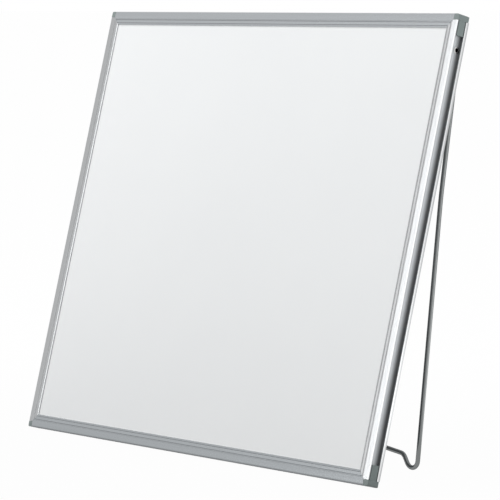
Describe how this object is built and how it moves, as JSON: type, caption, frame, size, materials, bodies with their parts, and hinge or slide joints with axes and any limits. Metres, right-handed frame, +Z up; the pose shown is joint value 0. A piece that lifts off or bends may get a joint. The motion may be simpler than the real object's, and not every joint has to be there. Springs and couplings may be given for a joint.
{
  "type": "magnetic desk whiteboard easel",
  "caption": "Magnetic dry-erase board, wider than high, in a mitred aluminium frame with corner caps, held at a lean on the desk by a folding bent-wire stand.",
  "frame": {"origin": "centre of the bounding box, at the level of the desk, with the stand open", "axes": "+Z up; the board faces -Y and leans back towards +Y; +X along the board's width, to the right as seen from the front"},
  "size_m": [0.305, 0.072, 0.2478],
  "materials": {
    "enamelled_sheet": "glossy white enamel on sheet steel",
    "hardboard_core": "brown hardboard",
    "galvanised_backing": "dull galvanised sheet",
    "anodised_frame": "satin silver anodised extrusion",
    "cap_plastic": "mid-grey moulded plastic",
    "zinc_screws": "zinc plated",
    "plated_eyelets": "nickel plated",
    "block_plastic": "black moulded plastic",
    "chromed_wire": "bright chrome plating"
  },
  "bodies": {
    "board": {"writing_surface": "enamelled_sheet", "core_board": "hardboard_core", "backing_sheet": "galvanised_backing", "top_rail": "anodised_frame", "bottom_rail": "anodised_frame", "left_stile": "anodised_frame", "right_stile": "anodised_frame", "corner_cap_top_left": "cap_plastic", "corner_cap_top_right": "cap_plastic", "corner_cap_bottom_left": "cap_plastic", "corner_cap_bottom_right": "cap_plastic", "cap_screws_top_left": "zinc_screws", "cap_screws_top_right": "zinc_screws", "cap_screws_bottom_left": "zinc_screws", "cap_screws_bottom_right": "zinc_screws", "pivot_eyelet_left": "plated_eyelets", "pivot_eyelet_right": "plated_eyelets", "hinge_block_left": "block_plastic", "hinge_block_right": "block_plastic"},
    "stand": {"wire_stand": "chromed_wire"}
  },
  "joints": [
    {"name": "stand_hinge", "type": "hinge", "parent": "board", "child": "stand", "pos_m": [0, 0.02802, 0.22826], "axis": [1, 0, 0], "range_deg": [-14.6, 0]}
  ]
}
